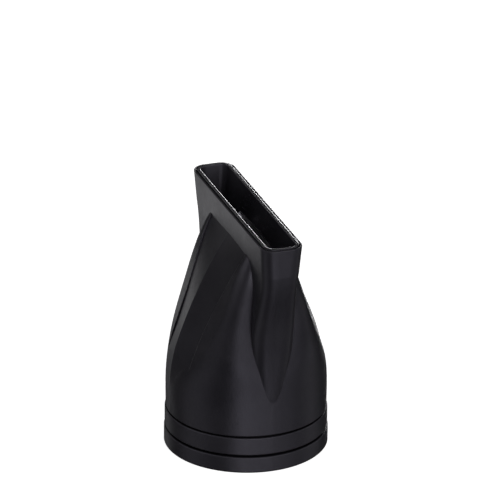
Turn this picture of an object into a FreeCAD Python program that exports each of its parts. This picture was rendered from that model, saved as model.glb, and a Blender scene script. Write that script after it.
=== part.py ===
"""Air-concentrator nozzle of a hand-held hair dryer.

The nozzle stands on its round coupling.  +Z points up towards the slot mouth, +X runs along the
slot's long side and -Y is one of the two broad sides.  The origin is the centre of the underside.
All lengths are millimetres.
"""

import FreeCAD, Part
import math
import os
import Sketcher

V = FreeCAD.Vector
doc = FreeCAD.newDocument("nozzle")

# --------------------------------------------------------------------------------------------
# Driving dimensions.  Every feature below takes its numbers from this sheet.
# --------------------------------------------------------------------------------------------

DIMENSIONS = [
    # coupling collar, which pushes over the dryer's barrel
    ("collar_outer_radius", 26.0, "outside of the lowest band"),
    ("collar_band_height", 5.3, "height of the lowest band"),
    ("barrel_bore_radius", 22.4, "bore that takes the dryer's barrel"),
    ("bore_lead_in", 0.6, "chamfer at the mouth of the bore"),
    ("sleeve_outer_radius", 23.6, "outside of the sleeve the head turns on"),
    ("sleeve_top", 17.2, "top of the sleeve"),
    ("sleeve_chamfer", 0.3, "chamfer on the sleeve's upper edge"),
    ("stop_ledge_height", 1.2, "thickness of the ledge the barrel's end meets"),
    ("stop_ledge_radius", 20.6, "opening left inside the ledge"),
    ("edge_break", 0.25, "small chamfer on the visible edges"),
    # grip ring, seated in a groove of the bore
    ("grip_groove_bottom", 1.8, "underside of the groove"),
    ("grip_groove_height", 2.6, "height of the groove"),
    ("grip_groove_depth", 1.2, "depth of the groove"),
    ("grip_play", 0.08, "play of the ring in its groove"),
    # retaining ring, which holds the head on the sleeve
    ("ring_groove_bottom", 14.3, "underside of the groove in the sleeve"),
    ("ring_groove_height", 1.1, "height of the groove"),
    ("ring_groove_radius", 22.95, "floor of the groove"),
    ("ring_outer_radius", 24.1, "outside of the retaining ring"),
    ("ring_play", 0.05, "play of the ring in its groove"),
    ("ring_opening", 24.0, "gap between the ring's two ends, degrees"),
    # trim band between the two part lines
    ("trim_outer_radius", 25.8, "outside of the middle band"),
    ("trim_inner_radius", 23.67, "inside, running on the sleeve"),
    ("trim_foot_bottom", 5.36, "foot that rides on the collar"),
    ("trim_foot_radius", 24.6, "outside of the foot, the floor of the lower part line"),
    ("trim_bottom", 6.0, "underside of the middle band"),
    ("trim_top", 11.9, "top of the middle band"),
    ("trim_spigot_radius", 24.5, "outside of the spigot inside the shell's skirt"),
    ("trim_spigot_top", 14.2, "top of the spigot, just under the retaining ring"),
    # outer shell: skirt and dome, which passes from round to an upright oblong
    ("shell_bottom", 12.6, "lower edge of the skirt"),
    ("shell_radius", 25.5, "outside of the skirt"),
    ("shell_wall", 1.4, "wall thickness"),
    ("root_height", 11.0, "height from which shell and duct are formed, before they are trimmed"),
    ("rim_wall", 0.5, "wall thickness just above the rim, to which the spout's wall tapers"),
    ("skirt_inner_radius", 24.55, "recess for the spigot and the retaining ring"),
    ("skirt_recess_top", 15.9, "top of that recess"),
    ("round_flat", 0.2, "flat left between two corners of a section that is all but round"),
    ("skirt_middle", 17.0, "height of the skirt's second section"),
    ("dome_start", 22.0, "height where the dome leaves the skirt"),
    ("brow_height", 36.0, "height of the dome's second section"),
    ("brow_length", 25.3, "half length there"),
    ("brow_width", 21.1, "half width there, where the corners end"),
    ("brow_round", 16.7, "corner radius there"),
    ("brow_ridge", 23.5, "distance from the axis of the ridge on the broad sides there"),
    ("waist_height", 48.0, "height of the dome's third section"),
    ("waist_length", 23.5, "half length there"),
    ("waist_width", 15.7, "half width there"),
    ("waist_round", 8.4, "corner radius there"),
    ("waist_ridge", 19.0, "distance of the ridge there"),
    ("neck_height", 60.0, "height of the dome's fourth section"),
    ("neck_length", 22.6, "half length there"),
    ("neck_width", 11.6, "half width there"),
    ("neck_round", 6.1, "corner radius there"),
    ("neck_ridge", 13.4, "distance of the ridge there"),
    ("crown_height", 72.3, "height where the dome ends under the lip band"),
    ("crown_length", 19.5, "half length there"),
    ("crown_width", 5.9, "half width there"),
    ("crown_round", 2.6, "corner radius there"),
    ("crown_ridge", 6.2, "distance of the ridge there"),
    # flat spout and its two fins
    ("rim_height", 80.2, "height of the shell's rim"),
    ("rim_half_length", 36.0, "half length of the rim"),
    ("rim_half_width", 6.8, "half width of the rim"),
    ("rim_corner", 4.6, "corner radius of the rim"),
    ("lip_height", 70.5, "lower edge of the upright lip band"),
    ("lip_half_length", 35.0, "half length there"),
    ("lip_half_width", 6.1, "half width there"),
    ("lip_corner", 4.4, "corner radius there"),
    ("blade_height", 56.0, "height of the fins' second section"),
    ("blade_half_length", 31.4, "half length there"),
    ("blade_half_width", 6.2, "half width there"),
    ("blade_corner", 4.6, "corner radius there"),
    ("fin_height", 36.0, "height of the fins' third section"),
    ("fin_half_length", 27.2, "half length there"),
    ("fin_half_width", 6.4, "half width there"),
    ("fin_corner", 5.5, "corner radius there"),
    ("calf_height", 27.0, "height of the fins' fourth section"),
    ("calf_half_length", 26.0, "half length there"),
    ("calf_half_width", 4.9, "half width there"),
    ("calf_corner", 4.5, "corner radius there"),
    ("foot_height", 16.5, "height of the fins' lowest section, inside the skirt"),
    ("foot_half_length", 24.2, "half length there"),
    ("foot_half_width", 1.8, "half width there"),
    ("foot_corner", 1.5, "corner radius there"),
    ("rim_rounding", 0.2, "rounding of the shell's rim"),
    # two facets on each broad side, cut a little below the dome's corners
    ("facet_top_reach", 16.4, "how far the facets reach from the ridge under the lip band"),
    ("facet_top_ridge", 6.0, "distance of the ridge from the axis there"),
    ("facet_top_wing", 5.7, "distance of the facets' outer edges from the axis there"),
    ("facet_neck_reach", 13.9, "reach at the neck"),
    ("facet_neck_ridge", 13.4, "distance of the ridge there"),
    ("facet_neck_wing", 11.5, "distance of the outer edges there"),
    ("facet_waist_reach", 11.3, "reach at the waist"),
    ("facet_waist_ridge", 19.0, "distance of the ridge there"),
    ("facet_waist_wing", 16.2, "distance of the outer edges there"),
    ("facet_brow_reach", 10.2, "reach at the brow"),
    ("facet_brow_ridge", 23.5, "distance of the ridge there"),
    ("facet_brow_wing", 20.7, "distance of the outer edges there"),
    ("facet_foot_height", 26.0, "height at which the facets have run out"),
    ("facet_foot_reach", 9.0, "reach there"),
    ("facet_foot_ridge", 26.1, "distance of the ridge there"),
    ("facet_foot_wing", 24.6, "distance of the outer edges there"),
    ("facet_depth", 45.0, "outer side of the section that is cut away"),
    # inner duct
    ("duct_gap", 0.4, "gap between shell and duct"),
    ("duct_wall", 1.0, "wall thickness of the duct"),
    ("duct_rim_rounding", 0.3, "rounding of the duct's rim"),
    ("duct_rim_height", 80.5, "height of the duct's rim"),
    ("duct_flange_radius", 23.85, "outside of the seat flange"),
    ("duct_flange_bottom", 17.6, "underside of the seat flange"),
    ("duct_flange_height", 1.2, "thickness of the seat flange"),
    ("overrun", 1.5, "how far a cavity runs past the rim it opens"),
    ("trim_floor", 5.0, "underside of the plates that trim shell and duct"),
    ("trim_radius", 32.0, "outside of those plates"),
]

DERIVED = [
    ("bore_mouth_radius", "=barrel_bore_radius + bore_lead_in"),
    ("collar_edge_radius", "=collar_outer_radius - edge_break"),
    ("collar_edge_top", "=collar_band_height - edge_break"),
    ("sleeve_chamfer_radius", "=sleeve_outer_radius - sleeve_chamfer"),
    ("sleeve_chamfer_height", "=sleeve_top - sleeve_chamfer"),
    ("stop_ledge_bottom", "=sleeve_top - stop_ledge_height"),
    ("grip_groove_top", "=grip_groove_bottom + grip_groove_height"),
    ("grip_groove_radius", "=barrel_bore_radius + grip_groove_depth"),
    ("grip_bottom", "=grip_groove_bottom + grip_play"),
    ("grip_top", "=grip_groove_top - grip_play"),
    ("grip_outer_radius", "=grip_groove_radius - grip_play"),
    ("grip_inner_radius", "=barrel_bore_radius + grip_play / 4"),
    ("grip_shoulder_radius", "=barrel_bore_radius + grip_groove_depth / 3"),
    ("grip_lip_bottom", "=grip_bottom + grip_groove_height / 4"),
    ("grip_lip_top", "=grip_top - grip_groove_height / 4"),
    ("ring_groove_top", "=ring_groove_bottom + ring_groove_height"),
    ("ring_bottom", "=ring_groove_bottom + ring_play"),
    ("ring_top", "=ring_groove_top - ring_play"),
    ("ring_inner_radius", "=ring_groove_radius + ring_play"),
    ("ring_sweep", "=360 - ring_opening"),
    ("trim_edge_radius", "=trim_outer_radius - edge_break"),
    ("trim_edge_bottom", "=trim_bottom + edge_break"),
    ("trim_edge_top", "=trim_top - edge_break"),
    ("duct_flange_top", "=duct_flange_bottom + duct_flange_height"),
]

# The shell's outside and inside and the duct's outside and inside are one form, set further in
# each time: name, distance inside the shell's outside, the same at the rim, and upper end.
SKINS = [
    ("shell_outside", "0", "0", "rim_height"),
    ("shell_inside", "shell_wall", "rim_wall", "rim_height + overrun"),
    ("duct_outside", "shell_wall + duct_gap", "rim_wall + duct_gap", "duct_rim_height"),
    ("duct_inside", "shell_wall + duct_gap + duct_wall", "rim_wall + duct_gap + duct_wall",
     "duct_rim_height + overrun"),
]

# Sections of the dome above the round skirt, and sections of the spout and its fins.
DOME_PARTS = ("brow", "waist", "neck", "crown")
SPOUT_PARTS = ("lip", "blade", "fin", "calf", "foot")
FACET_PARTS = ("top", "neck", "waist", "brow", "foot")

SKIN_SIZES = [
    ("skirt_length", "=shell_radius - {inset}"),
    ("skirt_round", "=shell_radius - {inset} - round_flat"),
    ("skirt_rise", "=round_flat"),
    ("skirt_ridge", "=shell_radius - {inset} + round_flat / 5"),
    ("rim_length", "=rim_half_length - {rim_inset}"),
    ("rim_width", "=rim_half_width - {rim_inset}"),
    ("rim_round", "=rim_corner - {rim_inset}"),
]
for part in DOME_PARTS:
    SKIN_SIZES += [
        (part + "_length", "=%s_length - {inset}" % part),
        (part + "_round", "=max(%s_round - {inset}; 0.6)" % part),
        (part + "_rise", "=%s_width - max(%s_round; 0.6 + {inset})" % (part, part)),
        (part + "_ridge", "=%s_ridge - {inset}" % part),
    ]
for part in SPOUT_PARTS:
    # the fins run out inside the round skirt, so their narrow foot keeps most of its width
    sideways = "{inset} / 4" if part == "foot" else "{inset}"
    SKIN_SIZES += [
        (part + "_length", "=%s_half_length - {inset}" % part),
        (part + "_width", "=%s_half_width - %s" % (part, sideways)),
        (part + "_round", "=max(%s_corner - %s; 0.7)" % (part, sideways)),
    ]
for part in FACET_PARTS:
    SKIN_SIZES += [
        ("facet_%s_ridge" % part, "=-(facet_%s_ridge - {inset})" % part),
        ("facet_%s_wing" % part, "=-(facet_%s_wing - {inset})" % part),
        ("facet_%s_reach" % part, "=facet_%s_reach + {inset}" % part),
        ("facet_%s_side" % part, "=-(facet_%s_reach + {inset})" % part),
    ]

sheet = doc.addObject("Spreadsheet::Sheet", "dimensions")


def enter(row, alias, content, meaning=""):
    """Write one named cell of the sheet."""
    sheet.set("A%d" % row, meaning or alias.replace("_", " "))
    sheet.set("B%d" % row, content)
    sheet.setAlias("B%d" % row, alias)


row = 0
for alias, value, meaning in DIMENSIONS:
    row += 1
    enter(row, alias, str(value), meaning)
for alias, formula in DERIVED:
    row += 1
    enter(row, alias, formula)
for skin, inset, rim_inset, top in SKINS:
    for alias, formula in [("inset", inset), ("rim_inset", rim_inset), ("top", top)]:
        row += 1
        enter(row, "%s_%s" % (skin, alias), "=" + formula)
    for alias, formula in SKIN_SIZES:
        row += 1
        filled = formula.format(inset=skin + "_inset", rim_inset=skin + "_rim_inset")
        enter(row, "%s_%s" % (skin, alias), filled)
enter(row + 1, "facet_outer", "=-facet_depth")
doc.recompute()


def size(alias):
    """The present value of a cell, for a sketch's first placement."""
    value = sheet.get(alias)
    return float(getattr(value, "Value", value))


# --------------------------------------------------------------------------------------------
# Small helpers
# --------------------------------------------------------------------------------------------

def new_body(name):
    """An empty body."""
    body = doc.addObject("PartDesign::Body", name)
    body.Label = name
    return body


def origin_plane(body, role):
    """One of the body's own three planes."""
    return next(f for f in body.Origin.OriginFeatures if f.Role == role)


def new_sketch(body, name, role="XZ_Plane", height=None):
    """A sketch on one of the body's planes, lifted to a named height when one is given."""
    sketch = body.newObject("Sketcher::SketchObject", name)
    sketch.AttachmentSupport = [(origin_plane(body, role), "")]
    sketch.MapMode = "FlatFace"
    if height:
        sketch.setExpression(".AttachmentOffset.Base.z", "dimensions." + height)
    return sketch


def tie(sketch, kind, value, *where):
    """Add a dimension and drive it from the sheet."""
    index = sketch.addConstraint(Sketcher.Constraint(kind, *where, size(value)))
    sketch.setExpression("Constraints[%d]" % index, "dimensions." + value)


def pin_point(sketch, edge, end, across, up):
    """Hold one end of an edge at two named distances from the sketch's origin."""
    if across is None:
        sketch.addConstraint(Sketcher.Constraint("PointOnObject", edge, end, -2))
    else:
        tie(sketch, "DistanceX", across, -1, 1, edge, end)
    if up is None:
        sketch.addConstraint(Sketcher.Constraint("PointOnObject", edge, end, -1))
    else:
        tie(sketch, "DistanceY", up, -1, 1, edge, end)


def closed_outline(sketch, corners):
    """A closed outline of straight edges through named corners; None lies on the axis."""
    spots = [V(size(a) if a else 0, size(b) if b else 0, 0) for a, b in corners]
    count = len(spots)
    for i, start in enumerate(spots):
        sketch.addGeometry(Part.LineSegment(start, spots[(i + 1) % count]), False)
    for i in range(count):
        sketch.addConstraint(Sketcher.Constraint("Coincident", i, 2, (i + 1) % count, 1))
    for i, (across, up) in enumerate(corners):
        pin_point(sketch, i, 1, across, up)


def rounded_slot(sketch, length, width, corner):
    """A rectangle with round corners, centred on the axis: half length, half width, corner."""
    a, b, c = size(length), size(width), size(corner)
    sides = [(V(c - a, b, 0), V(a - c, b, 0)), (V(a, b - c, 0), V(a, c - b, 0)),
             (V(a - c, -b, 0), V(c - a, -b, 0)), (V(-a, c - b, 0), V(-a, b - c, 0))]
    centres = [V(a - c, b - c, 0), V(a - c, c - b, 0), V(c - a, c - b, 0), V(c - a, b - c, 0)]
    for i in range(4):
        start, end = sides[i][1], sides[(i + 1) % 4][0]
        outward = V(centres[i].x, centres[i].y, 0)
        outward = V(1 if outward.x > 0 else -1, 1 if outward.y > 0 else -1, 0).normalize()
        sketch.addGeometry(Part.LineSegment(*sides[i]), False)
        sketch.addGeometry(Part.Arc(start, centres[i] + outward * c, end), False)
    for i in range(4):
        line, arc, following = 2 * i, 2 * i + 1, (2 * i + 2) % 8
        # the arcs run clockwise, so their own start is the end that meets the next side
        sketch.addConstraint(Sketcher.Constraint("Tangent", line, 2, arc, 2))
        sketch.addConstraint(Sketcher.Constraint("Tangent", arc, 1, following, 1))
        sketch.addConstraint(Sketcher.Constraint("Horizontal" if i % 2 == 0 else "Vertical", line))
        if i:
            sketch.addConstraint(Sketcher.Constraint("Equal", 1, arc))
    tie(sketch, "Radius", corner, 1)
    tie(sketch, "Distance", width, -1, 1, 0)
    tie(sketch, "Distance", width, -1, 1, 4)
    tie(sketch, "Distance", length, -1, 1, 2)
    tie(sketch, "Distance", length, -1, 1, 6)


def peaked_slot(sketch, length, rise, corner, ridge):
    """A rectangle with round corners whose long sides rise to a ridge on the axis.

    The sizes are its half length, the height of the corners' centres, the corner radius and the
    distance of the ridge.
    """
    a, h, c, peak = size(length), size(rise), size(corner), size(ridge)
    x = a - c
    slope = math.atan2(h - peak, x) + math.asin(c / math.hypot(x, peak - h))
    run = math.sqrt(x ** 2 + (peak - h) ** 2 - c ** 2)
    tx, ty = run * math.cos(slope), peak + run * math.sin(slope)
    spots = [V(0, peak, 0), V(tx, ty, 0), V(a, h, 0), V(a, -h, 0), V(tx, -ty, 0),
             V(0, -peak, 0), V(-tx, -ty, 0), V(-a, -h, 0), V(-a, h, 0), V(-tx, ty, 0)]
    hubs = {1: V(x, h, 0), 3: V(x, -h, 0), 6: V(-x, -h, 0), 8: V(-x, h, 0)}
    for i, start in enumerate(spots):
        end = spots[(i + 1) % len(spots)]
        if i in hubs:
            middle = hubs[i] + ((start + end) * 0.5 - hubs[i]).normalize() * c
            sketch.addGeometry(Part.Arc(start, middle, end), False)
        else:
            sketch.addGeometry(Part.LineSegment(start, end), False)
    for i in hubs:
        # the arcs run clockwise, so their own start is the end that meets the next side
        sketch.addConstraint(Sketcher.Constraint("Tangent", i - 1, 2, i, 2))
        sketch.addConstraint(Sketcher.Constraint("Tangent", i, 1, i + 1, 1))
        if i > 1:
            sketch.addConstraint(Sketcher.Constraint("Equal", 1, i))
    for before, after in ((9, 0), (4, 5)):
        sketch.addConstraint(Sketcher.Constraint("Coincident", before, 2, after, 1))
        sketch.addConstraint(Sketcher.Constraint("PointOnObject", after, 1, -2))
    tie(sketch, "Radius", corner, 1)
    tie(sketch, "DistanceY", ridge, -1, 1, 0, 1)
    tie(sketch, "DistanceY", ridge, 5, 1, -1, 1)
    for arc in (1, 8):
        tie(sketch, "DistanceY", rise, -1, 1, arc, 3)
    for arc in (3, 6):
        tie(sketch, "DistanceY", rise, arc, 3, -1, 1)
    for side in (2, 7):
        sketch.addConstraint(Sketcher.Constraint("Vertical", side))
        tie(sketch, "Distance", length, -1, 1, side)


def turned(body, name, corners, sweep=None):
    """Revolve a named outline, radius against height, about the nozzle's axis."""
    sketch = new_sketch(body, name + "_profile")
    closed_outline(sketch, corners)
    feature = body.newObject("PartDesign::Revolution", name)
    feature.Profile = sketch
    feature.ReferenceAxis = (sketch, ["V_Axis"])
    feature.Angle = 360.0
    if sweep:
        feature.setExpression("Angle", "dimensions." + sweep)
    doc.recompute()
    return feature


def lofted(body, kind, name, sketches, ruled):
    """A loft through sketches, added to or taken from the body."""
    feature = body.newObject("PartDesign::%sLoft" % kind, name)
    feature.Profile = sketches[0]
    feature.Sections = sketches[1:]
    feature.Ruled = ruled
    doc.recompute()
    return feature


# --------------------------------------------------------------------------------------------
# The nozzle's form, used for the shell and the duct
# --------------------------------------------------------------------------------------------

def nozzle_form(skin):
    """Skirt, dome, facets, flat spout and fins, set in by the skin's own distance."""

    def own(alias):
        return "%s_%s" % (skin, alias)

    def level(name, height):
        return new_sketch(body, own(name), "XY_Plane", height)

    def dome_section(part, height, sizes):
        sketch = level("dome_" + part, height)
        peaked_slot(sketch, *[own("%s_%s" % (sizes, s)) for s in ("length", "rise", "round", "ridge")])
        return sketch

    def spout_section(part, height):
        sketch = level("spout_" + part, height)
        rounded_slot(sketch, *[own("%s_%s" % (part, s)) for s in ("length", "width", "round")])
        return sketch

    def scoop(part, height):
        sketch = level("facet_" + part, height)
        reach, side, ridge, wing = [
            own("facet_%s_%s" % (part, s)) for s in ("reach", "side", "ridge", "wing")]
        closed_outline(sketch, [(side, wing), (None, ridge), (reach, wing),
                                (reach, "facet_outer"), (side, "facet_outer")])
        return sketch

    body = new_body(skin)
    skirt = [dome_section(height, height, "skirt")
             for height in ("root_height", "skirt_middle", "dome_start")]
    dome = [dome_section(part, part + "_height", part) for part in DOME_PARTS]
    lofted(body, "Additive", skin + "_dome", skirt + dome, False)

    heights = ("crown_height", "neck_height", "waist_height", "brow_height", "facet_foot_height")
    facets = lofted(body, "Subtractive", skin + "_facets",
                    [scoop(part, height) for part, height in zip(FACET_PARTS, heights)], False)
    opposite = body.newObject("PartDesign::Mirrored", skin + "_opposite_facets")
    opposite.Originals = [facets]
    opposite.MirrorPlane = (origin_plane(body, "XZ_Plane"), [""])
    body.Tip = opposite
    doc.recompute()

    spout = [spout_section(part, part + "_height") for part in SPOUT_PARTS]
    lofted(body, "Additive", skin + "_fins", spout, False)
    lofted(body, "Additive", skin + "_lip_band", [spout[0], spout_section("rim", own("top"))], True)
    return body


def hollowed(name, outside, insides):
    """The outside form with the inside forms taken out."""
    for i, inside in enumerate(insides):
        cut = doc.addObject("Part::Cut", name if i == len(insides) - 1 else name + "_first")
        cut.Base, cut.Tool = outside, inside
        outside = cut
    doc.recompute()
    return outside


def edges_at(shape, height):
    """Numbers, from 1, of a shape's edges that lie level at a height."""
    found = []
    for number, edge in enumerate(shape.Edges, 1):
        box = edge.BoundBox
        if abs(box.ZMin - height) < 0.01 and abs(box.ZMax - height) < 0.01:
            found.append(number)
    return found


def rounded(name, base, rounds):
    """The base with its level edges at named heights rounded by named radii."""
    fillet = doc.addObject("Part::Fillet", name + "_rounded")
    fillet.Base = base
    fillet.Edges = [(number, size(radius), size(radius))
                    for height, radius in rounds
                    for number in edges_at(base.Shape, size(height))]
    fillet.Label = name
    doc.recompute()
    return fillet


# --------------------------------------------------------------------------------------------
# Coupling: collar, grip ring, retaining ring and trim band
# --------------------------------------------------------------------------------------------

coupling_collar = new_body("coupling_collar")
turned(coupling_collar, "collar_ring", [
    ("bore_mouth_radius", None),
    ("collar_edge_radius", None),
    ("collar_outer_radius", "edge_break"),
    ("collar_outer_radius", "collar_edge_top"),
    ("collar_edge_radius", "collar_band_height"),
    ("sleeve_outer_radius", "collar_band_height"),
    ("sleeve_outer_radius", "ring_groove_bottom"),
    ("ring_groove_radius", "ring_groove_bottom"),
    ("ring_groove_radius", "ring_groove_top"),
    ("sleeve_outer_radius", "ring_groove_top"),
    ("sleeve_outer_radius", "sleeve_chamfer_height"),
    ("sleeve_chamfer_radius", "sleeve_top"),
    ("stop_ledge_radius", "sleeve_top"),
    ("stop_ledge_radius", "stop_ledge_bottom"),
    ("barrel_bore_radius", "stop_ledge_bottom"),
    ("barrel_bore_radius", "grip_groove_top"),
    ("grip_groove_radius", "grip_groove_top"),
    ("grip_groove_radius", "grip_groove_bottom"),
    ("barrel_bore_radius", "grip_groove_bottom"),
    ("barrel_bore_radius", "bore_lead_in"),
])

grip_ring = new_body("grip_ring")
turned(grip_ring, "grip_section", [
    ("grip_outer_radius", "grip_bottom"),
    ("grip_outer_radius", "grip_top"),
    ("grip_shoulder_radius", "grip_top"),
    ("grip_inner_radius", "grip_lip_top"),
    ("grip_inner_radius", "grip_lip_bottom"),
    ("grip_shoulder_radius", "grip_bottom"),
])

retaining_ring = new_body("retaining_ring")
turned(retaining_ring, "ring_section", [
    ("ring_inner_radius", "ring_bottom"),
    ("ring_outer_radius", "ring_bottom"),
    ("ring_outer_radius", "ring_top"),
    ("ring_inner_radius", "ring_top"),
], sweep="ring_sweep")

trim_band = new_body("trim_band")
turned(trim_band, "trim_section", [
    ("trim_inner_radius", "trim_foot_bottom"),
    ("trim_foot_radius", "trim_foot_bottom"),
    ("trim_foot_radius", "trim_bottom"),
    ("trim_edge_radius", "trim_bottom"),
    ("trim_outer_radius", "trim_edge_bottom"),
    ("trim_outer_radius", "trim_edge_top"),
    ("trim_edge_radius", "trim_top"),
    ("trim_spigot_radius", "trim_top"),
    ("trim_spigot_radius", "trim_spigot_top"),
    ("trim_inner_radius", "trim_spigot_top"),
])

# --------------------------------------------------------------------------------------------
# Head: outer shell and inner duct
# --------------------------------------------------------------------------------------------

forms = {skin: nozzle_form(skin) for skin, *_ in SKINS}

skirt_recess = new_body("skirt_recess")
turned(skirt_recess, "recess_section", [
    (None, "root_height"),
    ("skirt_inner_radius", "root_height"),
    ("skirt_inner_radius", "skirt_recess_top"),
    (None, "skirt_recess_top"),
])


def trim(name, height):
    """A plate that takes away all that lies below a height."""
    body = new_body(name)
    turned(body, name + "_section", [
        (None, "trim_floor"),
        ("trim_radius", "trim_floor"),
        ("trim_radius", height),
        (None, height),
    ])
    return body


shell_form = hollowed("shell_form", forms["shell_outside"],
                      [forms["shell_inside"], skirt_recess, trim("shell_trim", "shell_bottom")])
nozzle_shell = rounded("nozzle_shell", shell_form, [("rim_height", "rim_rounding")])

turned(forms["duct_outside"], "duct_flange", [
    (None, "duct_flange_bottom"),
    ("duct_flange_radius", "duct_flange_bottom"),
    ("duct_flange_radius", "duct_flange_top"),
    (None, "duct_flange_top"),
])
duct_form = hollowed("duct_form", forms["duct_outside"],
                     [forms["duct_inside"], trim("duct_trim", "duct_flange_bottom")])
inner_duct = rounded("inner_duct", duct_form, [("duct_rim_height", "duct_rim_rounding")])

# --------------------------------------------------------------------------------------------
# Check and write
# --------------------------------------------------------------------------------------------

doc.recompute()
for thing in doc.Objects:
    if "Invalid" in thing.State or "Error" in thing.State:
        raise SystemExit("%s is %s" % (thing.Label, thing.State))

NODES = [coupling_collar, grip_ring, retaining_ring, trim_band, nozzle_shell, inner_duct]
os.makedirs("parts", exist_ok=True)
for node in NODES:
    shape = node.Shape
    if shape.isNull() or not shape.isValid() or len(shape.Solids) != 1:
        raise SystemExit("%s is not one valid solid" % node.Label)
    box = shape.BoundBox
    print("%-16s %8.1f mm3  x %6.2f %6.2f  y %6.2f %6.2f  z %6.2f %6.2f" % (
        node.Label, shape.Volume, box.XMin, box.XMax, box.YMin, box.YMax, box.ZMin, box.ZMax))
    shape.exportStep("parts/%s.step" % node.Label)
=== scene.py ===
"""The finished look of a hair dryer's air-concentrator nozzle, standing on its round coupling.

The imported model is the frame: +Z points up to the slot mouth, +X runs along the slot's long side
and the origin is the centre of the underside.  All lengths are metres.
"""

import logging
import math
from dataclasses import dataclass, field
from enum import Enum
from typing import List, Tuple

import bpy
from mathutils import Matrix, Vector

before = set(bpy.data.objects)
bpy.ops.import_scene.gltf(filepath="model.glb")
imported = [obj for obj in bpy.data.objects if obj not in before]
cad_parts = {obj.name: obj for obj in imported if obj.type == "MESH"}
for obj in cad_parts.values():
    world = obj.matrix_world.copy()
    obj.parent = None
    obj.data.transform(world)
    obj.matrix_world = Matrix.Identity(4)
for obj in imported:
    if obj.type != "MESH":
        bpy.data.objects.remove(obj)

log = logging.getLogger("nozzle")

Colour = Tuple[float, float, float]
Range = Tuple[float, float]

MM = 0.001
WHOLE: Range = (0.0, 1.0)
REVERSED: Range = (1.0, 0.0)
MIDTONES: Range = (0.3, 0.7)
EDGE_BEND: Range = (0.985, 0.80)
BLACK: Colour = (0.0, 0.0, 0.0)
WHITE: Colour = (1.0, 1.0, 1.0)
PIT_BLEND = 0.6
EDGE_SAMPLES = 6
CREASE_SAMPLES = 8


class Socket(str, Enum):
    """Inputs of the surface shader that the finishes set or drive."""

    COLOUR = "Base Color"
    ROUGHNESS = "Roughness"
    METALLIC = "Metallic"
    IOR = "IOR"
    SPECULAR = "Specular IOR Level"
    SPECULAR_TINT = "Specular Tint"
    SHEEN = "Sheen Weight"
    SHEEN_ROUGHNESS = "Sheen Roughness"
    NORMAL = "Normal"
    GLOW_COLOUR = "Emission Color"
    GLOW = "Emission Strength"


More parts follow.
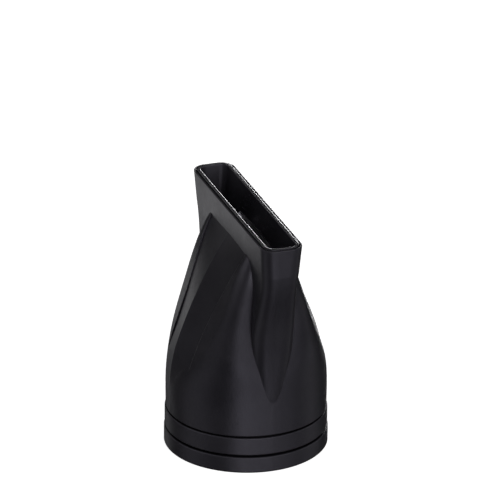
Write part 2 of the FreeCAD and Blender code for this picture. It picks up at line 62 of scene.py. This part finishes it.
class Nodes:
    """A small bench for wiring one material's nodes."""

    def __init__(self, name: str) -> None:
        """Start an empty material with its surface shader and output.

        Args:
            name: the material's name.
        """
        self.material = bpy.data.materials.new(name)
        self.material.use_nodes = True
        self.tree = self.material.node_tree
        self.tree.nodes.clear()
        self.output = self.add("ShaderNodeOutputMaterial")
        self.shader = self.add("ShaderNodeBsdfPrincipled")
        self.wire(self.shader.outputs[0], self.output.inputs["Surface"])
        self.place = self.add("ShaderNodeTexCoord").outputs["Object"]

    def add(self, kind: str, **settings: object) -> bpy.types.Node:
        """Add a node and set its plain properties.

        Args:
            kind: the node's type name.
            **settings: attributes of the node.

        Returns:
            The new node.
        """
        node = self.tree.nodes.new(kind)
        for key, value in settings.items():
            setattr(node, key, value)
        return node

    def wire(self, source: bpy.types.NodeSocket, target: bpy.types.NodeSocket) -> None:
        """Link an output to an input."""
        self.tree.links.new(source, target)

    def noise(self, cell: float, detail: float, roughness: float = 0.5) -> bpy.types.NodeSocket:
        """Cloudy noise with features of a given size.

        Args:
            cell: size of the largest features.
            detail: number of finer octaves.
            roughness: share of each finer octave.

        Returns:
            The noise's value, about 0.5 on average.
        """
        node = self.add("ShaderNodeTexNoise")
        node.inputs["Scale"].default_value = 1.0 / cell
        node.inputs["Detail"].default_value = detail
        node.inputs["Roughness"].default_value = roughness
        self.wire(self.place, node.inputs["Vector"])
        return node.outputs["Fac"]

    def pits(self, cell: float) -> bpy.types.NodeSocket:
        """Distance to the nearest of many scattered points, as on a spark-eroded mould."""
        node = self.add("ShaderNodeTexVoronoi", feature="SMOOTH_F1")
        node.inputs["Scale"].default_value = 1.0 / cell
        node.inputs["Smoothness"].default_value = PIT_BLEND
        self.wire(self.place, node.inputs["Vector"])
        return node.outputs["Distance"]

    def span(self, value: bpy.types.NodeSocket, old: Range, new: Range) -> bpy.types.NodeSocket:
        """Carry a value from one range to another, clamped.

        Args:
            value: the socket to read.
            old: its lowest and highest value of interest.
            new: what those become.

        Returns:
            The mapped value.
        """
        node = self.add("ShaderNodeMapRange", clamp=True)
        for socket, number in zip(node.inputs[1:5], (*old, *new)):
            socket.default_value = number
        self.wire(value, node.inputs["Value"])
        return node.outputs["Result"]

    def combine(
        self, how: str, first: bpy.types.NodeSocket, second: bpy.types.NodeSocket
    ) -> bpy.types.NodeSocket:
        """Join two values by a named operation.

        Args:
            how: the name of the operation.
            first: one value.
            second: the other value.

        Returns:
            The result.
        """
        node = self.add("ShaderNodeMath", operation=how)
        self.wire(first, node.inputs[0])
        self.wire(second, node.inputs[1])
        return node.outputs["Value"]

    def sum(
        self, first: bpy.types.NodeSocket, second: bpy.types.NodeSocket
    ) -> bpy.types.NodeSocket:
        """Add two values."""
        return self.combine("ADD", first, second)

    def product(
        self, first: bpy.types.NodeSocket, second: bpy.types.NodeSocket
    ) -> bpy.types.NodeSocket:
        """Multiply two values."""
        return self.combine("MULTIPLY", first, second)

    def larger(
        self, first: bpy.types.NodeSocket, second: bpy.types.NodeSocket
    ) -> bpy.types.NodeSocket:
        """The larger of two values."""
        return self.combine("MAXIMUM", first, second)

    def mixed(
        self,
        share: bpy.types.NodeSocket,
        low: "Colour | bpy.types.NodeSocket",
        high: Colour,
    ) -> bpy.types.NodeSocket:
        """Blend two colours by a value from 0 to 1.

        Args:
            share: how much of the second colour shows.
            low: the first colour, or a socket that gives it.
            high: the second colour.

        Returns:
            The blended colour.
        """
        node = self.add("ShaderNodeMix", data_type="RGBA")
        factor, first, second = (
            next(s for s in node.inputs if s.name == name and s.enabled)
            for name in ("Factor", "A", "B")
        )
        self.wire(share, factor)
        if isinstance(low, bpy.types.NodeSocket):
            self.wire(low, first)
        else:
            first.default_value = (*low, 1.0)
        second.default_value = (*high, 1.0)
        return next(s for s in node.outputs if s.enabled)

    def edge(self, reach: float) -> bpy.types.NodeSocket:
        """A mask that is 1 along sharp edges and 0 on open faces.

        Args:
            reach: how far from the edge the mask reaches.

        Returns:
            The mask.
        """
        plain = self.add("ShaderNodeNewGeometry")
        dot = self.add("ShaderNodeVectorMath", operation="DOT_PRODUCT")
        self.wire(self.soft_edge(reach), dot.inputs[0])
        self.wire(plain.outputs["Normal"], dot.inputs[1])
        return self.span(dot.outputs["Value"], EDGE_BEND, WHOLE)

    def crease(self, reach: float) -> bpy.types.NodeSocket:
        """How open the surface is: 1 on free faces, towards 0 in grooves and inner corners.

        Args:
            reach: how far away a neighbouring face still shades the surface.

        Returns:
            The openness.
        """
        node = self.add("ShaderNodeAmbientOcclusion", samples=CREASE_SAMPLES)
        node.inputs["Distance"].default_value = reach
        return node.outputs["AO"]

    def bump(
        self,
        height: bpy.types.NodeSocket,
        depth: float,
        under: bpy.types.NodeSocket,
    ) -> bpy.types.NodeSocket:
        """Raise the surface by a height pattern.

        Args:
            height: the pattern.
            depth: distance between its 0 and its 1.
            under: the normal that the pattern sits on.

        Returns:
            The new normal.
        """
        node = self.add("ShaderNodeBump")
        node.inputs["Strength"].default_value = 1.0
        node.inputs["Distance"].default_value = depth
        self.wire(height, node.inputs["Height"])
        self.wire(under, node.inputs["Normal"])
        return node.outputs["Normal"]

    def soft_edge(self, radius: float) -> bpy.types.NodeSocket:
        """The normal with sharp edges rounded off over a small radius."""
        node = self.add("ShaderNodeBevel", samples=EDGE_SAMPLES)
        node.inputs["Radius"].default_value = radius
        return node.outputs["Normal"]

    def open_from_behind(self, hole: float) -> None:
        """Let the eye look through the sheet from its back, and cut a round hole in its middle.

        Args:
            hole: the hole's radius.
        """
        reach = self.add("ShaderNodeVectorMath", operation="LENGTH")
        self.wire(self.place, reach.inputs[0])
        inside = self.add("ShaderNodeMath", operation="LESS_THAN")
        self.wire(reach.outputs["Value"], inside.inputs[0])
        inside.inputs[1].default_value = hole
        behind = self.add("ShaderNodeNewGeometry").outputs["Backfacing"]
        pick = self.add("ShaderNodeMixShader")
        self.wire(self.larger(inside.outputs["Value"], behind), pick.inputs[0])
        self.wire(self.shader.outputs[0], pick.inputs[1])
        self.wire(self.add("ShaderNodeBsdfTransparent").outputs[0], pick.inputs[2])
        self.wire(pick.outputs[0], self.output.inputs["Surface"])

    def set(self, socket: Socket, value: object) -> None:
        """Give one of the shader's own sockets a constant."""
        self.shader.inputs[socket.value].default_value = value

    def drive(self, socket: Socket, source: bpy.types.NodeSocket) -> None:
        """Feed one of the shader's sockets from a node."""
        self.wire(source, self.shader.inputs[socket.value])


@dataclass(frozen=True)
class MouldedPlastic:
    """Black plastic from a lightly spark-eroded mould, faintly polished at edges. Its outer edges
    are painted paler, partly as handling wear and partly as a painted highlight, and its grooves
    and inner corners carry painted shade.
    """

    name: str
    body: Colour = (0.0098, 0.0093, 0.0118)
    bloom: Colour = (0.0150, 0.0142, 0.0172)
    # Paler edge colour: partly handling wear, partly a painted highlight along the edges.
    worn_and_highlit: Colour = (0.026, 0.025, 0.030)
    # Painted shade: the near-black colour of grooves and inner corners.
    crease_shade: Colour = (0.0030, 0.0028, 0.0036)
    gleam: Colour = (0.88, 0.84, 1.0)
    ior: float = 1.5
    specular: float = 0.5
    groove_specular: float = 0.125
    roughness: float = 0.40
    cloud_swing: float = 0.035
    speck_swing: float = 0.02
    edge_polish: float = 0.08
    edge_wear_and_highlight: float = 0.8
    patch_size: float = 19.0 * MM
    patch_detail: float = 3.0
    patch_sharpness: float = 0.55
    bloom_range: Range = (0.35, 0.68)
    speck_size: float = 1.36 * MM
    speck_detail: float = 2.0
    grain_size: float = 0.34 * MM
    grain_depth: float = 0.011 * MM
    flow_size: float = 7.0 * MM
    flow_detail: float = 1.0
    flow_depth: float = 0.020 * MM
    edge_radius: float = 0.28 * MM
    edge_mask_radius: float = 0.448 * MM
    groove_reach: float = 1.3 * MM
    crease_shade_range: Range = (0.40, 0.80)
    free_range: Range = (0.75, 0.95)

    def make(self) -> bpy.types.Material:
        """Wire the material.

        Returns:
            The new material.
        """
        n = Nodes(self.name)
        patches = n.noise(self.patch_size, self.patch_detail, self.patch_sharpness)
        specks = n.noise(self.speck_size, self.speck_detail)
        openness = n.crease(self.groove_reach)
        # Mask of outer edges away from creases; it carries the edge wear and the painted edge
        # highlight.
        edge = n.product(n.edge(self.edge_mask_radius), n.span(openness, self.free_range, WHOLE))
        self.colour(n, patches, openness, edge)
        self.gloss(n, patches, specks, openness, edge)

        rounded = n.soft_edge(self.edge_radius)
        flow = n.bump(n.noise(self.flow_size, self.flow_detail), self.flow_depth, rounded)
        n.drive(Socket.NORMAL, n.bump(n.pits(self.grain_size), self.grain_depth, flow))
        return n.material

    def colour(
        self,
        n: Nodes,
        patches: bpy.types.NodeSocket,
        openness: bpy.types.NodeSocket,
        edge: bpy.types.NodeSocket,
    ) -> None:
        """Colour the faces, paint the edges paler as wear and painted highlight, and paint shade
        into the grooves.

        Args:
            n: the material's bench.
            patches: the cloudy pattern of the faces.
            openness: 1 on free faces and 0 in grooves.
            edge: 1 on outer edges.
        """
        skin = n.mixed(n.span(patches, self.bloom_range, WHOLE), self.body, self.bloom)
        # Outer edges are blended towards the paler edge colour, partly as wear and partly as a
        # painted highlight.
        rubbed_and_highlit = n.mixed(n.span(edge, WHOLE, (0.0, self.edge_wear_and_highlight)), skin, self.worn_and_highlit)
        # Painted shade: grooves and inner corners, where the occlusion mask is low, are darkened.
        depth = n.span(openness, self.crease_shade_range, REVERSED)
        n.drive(Socket.COLOUR, n.mixed(depth, rubbed_and_highlit, self.crease_shade))

    def gloss(
        self,
        n: Nodes,
        patches: bpy.types.NodeSocket,
        specks: bpy.types.NodeSocket,
        openness: bpy.types.NodeSocket,
        edge: bpy.types.NodeSocket,
    ) -> None:
        """Vary the gloss in clouds and specks, smoother on edges and duller in grooves.

        Args:
            n: the material's bench.
            patches: the cloudy pattern of the faces.
            specks: the finer pattern of the faces.
            openness: 1 on free faces and 0 in grooves.
            edge: 1 on outer edges.
        """
        low, high = self.roughness - self.cloud_swing, self.roughness + self.cloud_swing
        cloudy = n.span(patches, MIDTONES, (low, high))
        speckled = n.sum(cloudy, n.span(specks, MIDTONES, (-self.speck_swing, self.speck_swing)))
        polish = n.span(edge, WHOLE, (0.0, -self.edge_polish))
        n.drive(Socket.ROUGHNESS, n.sum(speckled, polish))
        shine = (self.groove_specular, self.specular)
        n.drive(Socket.SPECULAR, n.span(openness, self.crease_shade_range, shine))
        n.set(Socket.SPECULAR_TINT, (*self.gleam, 1.0))
        n.set(Socket.IOR, self.ior)


@dataclass(frozen=True)
class GripSilicone:
    """Soft dark grey rubber of the ring that grips the barrel, with a dusty bloom."""

    name: str
    body: Colour = (0.020, 0.020, 0.022)
    dust: Colour = (0.052, 0.051, 0.053)
    dust_range: Range = (0.42, 0.75)
    roughness: Range = (0.58, 0.74)
    patch_size: float = 5.0 * MM
    patch_detail: float = 4.0
    patch_sharpness: float = 0.6
    grain_size: float = 0.22 * MM
    grain_detail: float = 2.0
    grain_depth: float = 0.015 * MM
    edge_radius: float = 0.2 * MM
    sheen: float = 0.15
    sheen_roughness: float = 0.4
    ior: float = 1.42

    def make(self) -> bpy.types.Material:
        """Wire the material.

        Returns:
            The new material.
        """
        n = Nodes(self.name)
        patches = n.noise(self.patch_size, self.patch_detail, self.patch_sharpness)
        dusty = n.span(patches, self.dust_range, WHOLE)
        n.drive(Socket.COLOUR, n.mixed(dusty, self.body, self.dust))
        n.drive(Socket.ROUGHNESS, n.span(patches, MIDTONES, self.roughness))
        grain = n.noise(self.grain_size, self.grain_detail)
        n.drive(Socket.NORMAL, n.bump(grain, self.grain_depth, n.soft_edge(self.edge_radius)))
        n.set(Socket.SHEEN, self.sheen)
        n.set(Socket.SHEEN_ROUGHNESS, self.sheen_roughness)
        n.set(Socket.IOR, self.ior)
        return n.material


@dataclass(frozen=True)
class SpringSteel:
    """Bright rolled spring steel, with fine scratches that run round the ring."""

    name: str
    bright: Colour = (0.62, 0.61, 0.59)
    dull: Colour = (0.44, 0.43, 0.42)
    dull_range: Range = (0.35, 0.7)
    roughness: Range = (0.24, 0.38)
    patch_size: float = 4.0 * MM
    patch_detail: float = 4.0
    patch_sharpness: float = 0.6
    scratch_size: float = 0.12 * MM
    scratch_waver: float = 1.5
    scratch_depth: float = 0.004 * MM
    edge_radius: float = 0.1 * MM

    def make(self) -> bpy.types.Material:
        """Wire the material.

        Returns:
            The new material.
        """
        n = Nodes(self.name)
        patches = n.noise(self.patch_size, self.patch_detail, self.patch_sharpness)
        dulled = n.span(patches, self.dull_range, WHOLE)
        n.drive(Socket.COLOUR, n.mixed(dulled, self.bright, self.dull))
        n.drive(Socket.ROUGHNESS, n.span(patches, MIDTONES, self.roughness))
        scratches = n.add("ShaderNodeTexWave", wave_type="RINGS", rings_direction="Z")
        scratches.inputs["Scale"].default_value = 1.0 / self.scratch_size
        scratches.inputs["Distortion"].default_value = self.scratch_waver
        n.wire(n.place, scratches.inputs["Vector"])
        under = n.soft_edge(self.edge_radius)
        n.drive(Socket.NORMAL, n.bump(scratches.outputs["Fac"], self.scratch_depth, under))
        n.set(Socket.METALLIC, 1.0)
        return n.material


@dataclass
class Head:
    """The turning head: trim band, outer shell and the duct inside it."""

    shell: MouldedPlastic = MouldedPlastic("shell_plastic")
    # The duct's much paler edge colour is a painted highlight along its lip.
    duct: MouldedPlastic = MouldedPlastic(
        "duct_plastic", roughness=0.31, worn_and_highlit=(0.075, 0.072, 0.084)
    )
    trim: MouldedPlastic = MouldedPlastic("trim_plastic")

    def dress(self) -> None:
        """Give each of the head's pieces its finish."""
        dress("nozzle_shell", self.shell.make())
        dress("inner_duct", self.duct.make())
        dress("trim_band", self.trim.make())


@dataclass
class Coupling:
    """The coupling that pushes over the barrel: collar, grip ring and retaining ring."""

    collar: MouldedPlastic = MouldedPlastic("collar_plastic")
    grip: GripSilicone = GripSilicone("silicone")
    spring: SpringSteel = SpringSteel("spring_steel")

    def dress(self) -> None:
        """Give each of the coupling's pieces its finish."""
        dress("coupling_collar", self.collar.make())
        dress("grip_ring", self.grip.make())
        dress("retaining_ring", self.spring.make())


def dress(node: str, material: bpy.types.Material) -> None:
    """Put a material on a node of the frame.

    Args:
        node: the node's name.
        material: its new and only material.
    """
    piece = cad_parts[node]
    piece.data.materials.clear()
    piece.data.materials.append(material)
    log.info("dressed %s in %s", node, material.name)


def outward(azimuth: float, elevation: float) -> Vector:
    """The direction from the origin at an azimuth from +X towards +Y and a height, in degrees."""
    a, e = math.radians(azimuth), math.radians(elevation)
    return Vector((math.cos(a) * math.cos(e), math.sin(a) * math.cos(e), math.sin(e)))


@dataclass
class Softbox:
    """A rectangular area light that faces a point near the object."""

    name: str
    azimuth: float
    elevation: float
    power: float
    width: float = 0.30
    height: float = 0.40
    distance: float = 0.80
    aim: Tuple[float, float, float] = (0.0, 0.0, 40.0 * MM)

    def hang(self) -> None:
        """Add the light to the scene."""
        data = bpy.data.lights.new(self.name, "AREA")
        data.shape = "RECTANGLE"
        data.size, data.size_y = self.width, self.height
        data.energy = self.power
        lamp = bpy.data.objects.new(self.name, data)
        aim = Vector(self.aim)
        back = outward(self.azimuth, self.elevation)
        lamp.location = aim + back * self.distance
        lamp.rotation_euler = back.to_track_quat("Z", "Y").to_euler()
        bpy.context.scene.collection.objects.link(lamp)
        log.info("hung %s", self.name)


@dataclass
class Studio:
    """A plain pale floor, soft lights and the camera.

    The sky is what the eye sees beyond the floor, and the room is the faint even light that
    reaches the object.  The floor has a round hole under the bore, so that light gets inside.
    """

    floor_size: float = 6.0
    floor_drop: float = 0.05 * MM
    floor_hole: float = 25.4 * MM
    floor_colour: Colour = (0.82, 0.82, 0.82)
    floor_grey: Colour = (0.32, 0.32, 0.33)
    floor_glow: float = 0.8
    floor_roughness: float = 0.9
    satin_roughness: float = 0.25
    sky: float = 1.0
    room: float = 0.015
    camera_azimuth: float = -19.414
    camera_elevation: float = 24.083
    camera_roll: float = 0.45
    camera_distance: float = 2.4955
    camera_sideways: float = 0.001357
    camera_upward: float = 0.059607
    camera_reach: float = 20.0
    lens: float = 565.8
    lights: List[Softbox] = field(default_factory=lambda: [
        Softbox("front_left", azimuth=-23.0, elevation=22.0, power=1.75),
        Softbox("front", azimuth=5.0, elevation=22.0, power=1.8, width=0.45),
        Softbox("front_right", azimuth=38.0, elevation=22.0, power=0.75, width=0.40),
        Softbox("right", azimuth=80.0, elevation=22.0, power=0.6, width=0.50),
        Softbox("back_right", azimuth=150.0, elevation=6.0, power=2.4, width=0.24, height=0.14),
        Softbox("back_right_top", azimuth=140.0, elevation=50.0, power=0.4),
        Softbox("back_left", azimuth=-160.0, elevation=22.0, power=0.35),
        Softbox("left", azimuth=-95.0, elevation=22.0, power=0.75, width=0.60),
        Softbox("left_top", azimuth=-105.0, elevation=50.0, power=0.4),
        Softbox("under", azimuth=0.0, elevation=-72.0, power=1.6, width=0.40, distance=0.5),
        Softbox(
            "left_card", azimuth=0.0, elevation=-90.0, power=0.032, width=0.14, height=0.14,
            distance=0.298, aim=(-0.19, -0.069, 0.30),
        ),
    ])

    def lay_floor(self) -> None:
        """A wide floor: plain pale paper to the eye, dark satin sheet to the glossy plastic."""
        low = (0.0, 0.0, -self.floor_drop)
        bpy.ops.mesh.primitive_plane_add(size=self.floor_size, location=low)
        floor = bpy.context.active_object
        floor.name = "floor"
        n = Nodes("floor_paper")
        ray = n.add("ShaderNodeLightPath").outputs["Is Camera Ray"]
        n.drive(Socket.COLOUR, n.mixed(ray, self.floor_grey, self.floor_colour))
        n.drive(Socket.METALLIC, n.span(ray, WHOLE, REVERSED))
        roughness = n.span(ray, WHOLE, (self.satin_roughness, self.floor_roughness))
        n.drive(Socket.ROUGHNESS, roughness)
        n.set(Socket.SPECULAR, 0.0)
        n.drive(Socket.GLOW_COLOUR, n.mixed(ray, BLACK, WHITE))
        n.set(Socket.GLOW, self.floor_glow)
        n.open_from_behind(self.floor_hole)
        floor.data.materials.append(n.material)

    def light(self) -> None:
        """Hang the softboxes and set the even light of the room."""
        for box in self.lights:
            box.hang()
        world = bpy.data.worlds.new("room")
        world.use_nodes = True
        tree = world.node_tree
        strength = tree.nodes["Background"].inputs["Strength"]
        tree.nodes["Background"].inputs["Color"].default_value = (*WHITE, 1.0)
        seen = tree.nodes.new("ShaderNodeMapRange")
        seen.inputs["To Min"].default_value = self.room
        seen.inputs["To Max"].default_value = self.sky
        ray = tree.nodes.new("ShaderNodeLightPath").outputs["Is Camera Ray"]
        tree.links.new(ray, seen.inputs["Value"])
        tree.links.new(seen.outputs["Result"], strength)
        bpy.context.scene.world = world
        bpy.context.scene.view_settings.view_transform = "Standard"

    def set_camera(self) -> None:
        """Stand the camera a little above the nozzle's mouth, off its near corner."""
        back = outward(self.camera_azimuth, self.camera_elevation)
        level = Vector((0.0, 0.0, 1.0)).cross(back).normalized()
        upright = back.cross(level)
        roll = math.radians(self.camera_roll)
        right = level * math.cos(roll) + upright * math.sin(roll)
        up = upright * math.cos(roll) - level * math.sin(roll)
        place = back * self.camera_distance + right * self.camera_sideways + up * self.camera_upward
        data = bpy.data.cameras.new("camera")
        data.lens = self.lens
        data.clip_end = self.camera_reach
        camera = bpy.data.objects.new("camera", data)
        camera.matrix_world = Matrix((
            (right.x, up.x, back.x, place.x),
            (right.y, up.y, back.y, place.y),
            (right.z, up.z, back.z, place.z),
            (0.0, 0.0, 0.0, 1.0),
        ))
        bpy.context.scene.collection.objects.link(camera)
        bpy.context.scene.camera = camera


def main() -> None:
    """Dress the imported nozzle, then build the studio round it."""
    logging.basicConfig(level=logging.INFO, format="%(name)s: %(message)s")
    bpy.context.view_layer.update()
    bpy.ops.object.select_all(action="DESELECT")
    Coupling().dress()
    Head().dress()
    studio = Studio()
    studio.lay_floor()
    studio.light()
    studio.set_camera()


if __name__ == "__main__":
    main()
